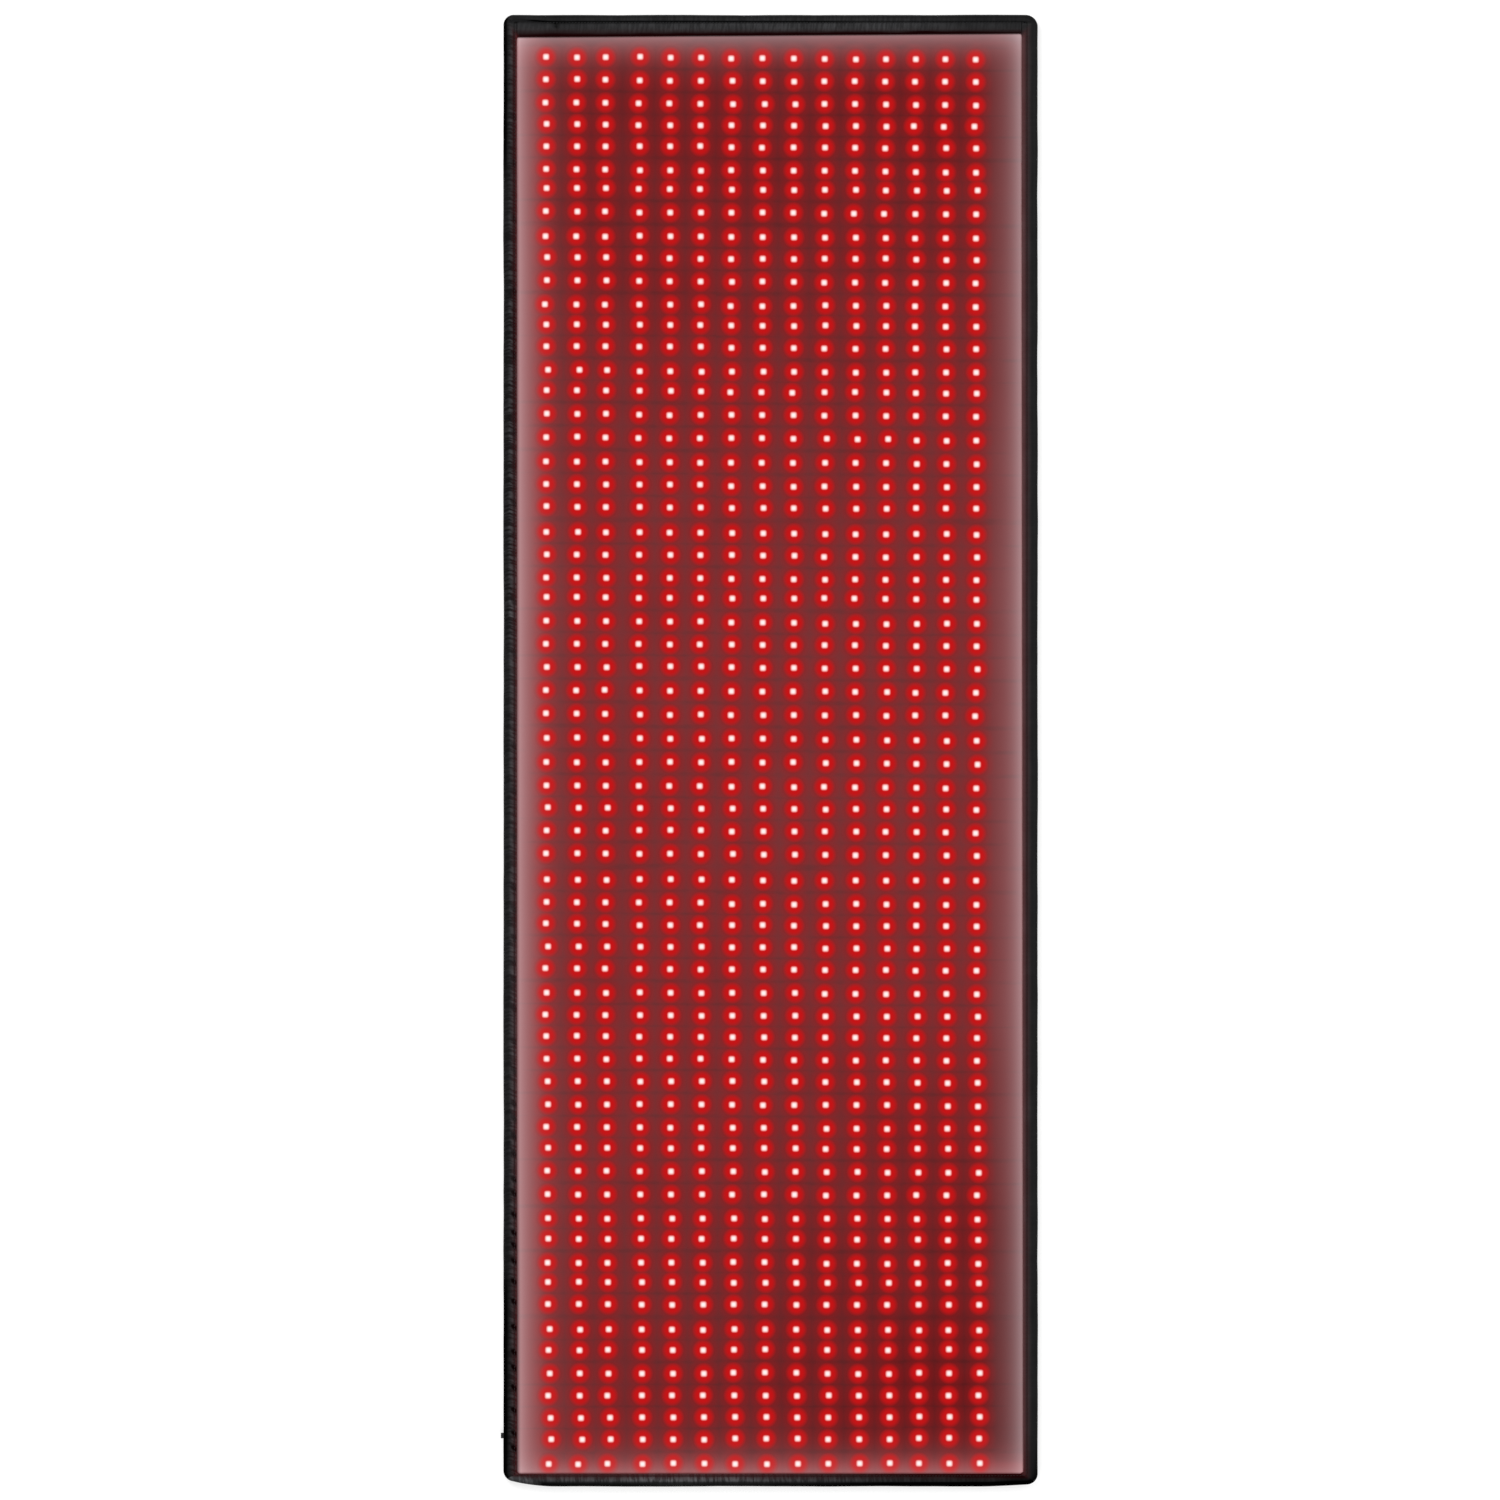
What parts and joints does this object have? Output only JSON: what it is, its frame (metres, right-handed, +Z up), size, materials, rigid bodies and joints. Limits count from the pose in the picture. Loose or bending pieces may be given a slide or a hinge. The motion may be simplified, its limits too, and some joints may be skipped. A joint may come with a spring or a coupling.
{
  "type": "red light therapy mat",
  "caption": "Full-body red light therapy mat: a flexible black-bordered mat with a frosted window over a grid of lit red LEDs, lying flat.",
  "frame": {"origin": "on the underside of the rear cover, midway between the long edges and midway between the ends", "axes": "+Y along the mat to its head end, +X to the mat's right as seen from above, +Z up out of the lit side"},
  "size_m": [0.5833, 1.6, 0.0118],
  "materials": {
    "rear_cover_leather": "matte",
    "binding_leather": "satin",
    "hem_tape": "matte",
    "seam_thread": "matte",
    "frosted_film": "satin",
    "foam": "matte",
    "carrier_fabric": "matte",
    "led_board": "satin",
    "copper_tape": "satin",
    "red_sheath": "satin",
    "black_sheath": "satin",
    "gland_rubber": "matte"
  },
  "bodies": {
    "root": {"rear_cover": "rear_cover_leather", "binding_left": "binding_leather", "binding_right": "binding_leather", "binding_head": "binding_leather", "binding_foot": "binding_leather", "hem_tape_left": "hem_tape", "hem_tape_right": "hem_tape", "hem_tape_head": "hem_tape", "hem_tape_foot": "hem_tape", "seam_thread": "seam_thread", "front_window": "frosted_film", "foam_core": "foam", "led_carrier": "carrier_fabric", "bus_positive": "copper_tape", "bus_negative": "copper_tape", "feed_wire_positive": "red_sheath", "feed_wire_negative": "black_sheath", "lead_gland": "gland_rubber", "led_panel_01": "led_board", "led_panel_02": "led_board", "led_panel_03": "led_board", "led_panel_04": "led_board", "led_panel_05": "led_board", "led_panel_06": "led_board", "led_panel_07": "led_board", "led_panel_08": "led_board", "led_panel_09": "led_board", "led_panel_10": "led_board", "led_panel_11": "led_board", "led_panel_12": "led_board", "led_panel_13": "led_board", "led_panel_14": "led_board", "led_panel_15": "led_board", "led_panel_16": "led_board", "led_panel_17": "led_board", "led_panel_18": "led_board", "led_panel_19": "led_board", "led_panel_20": "led_board", "led_panel_21": "led_board"}
  },
  "joints": []
}
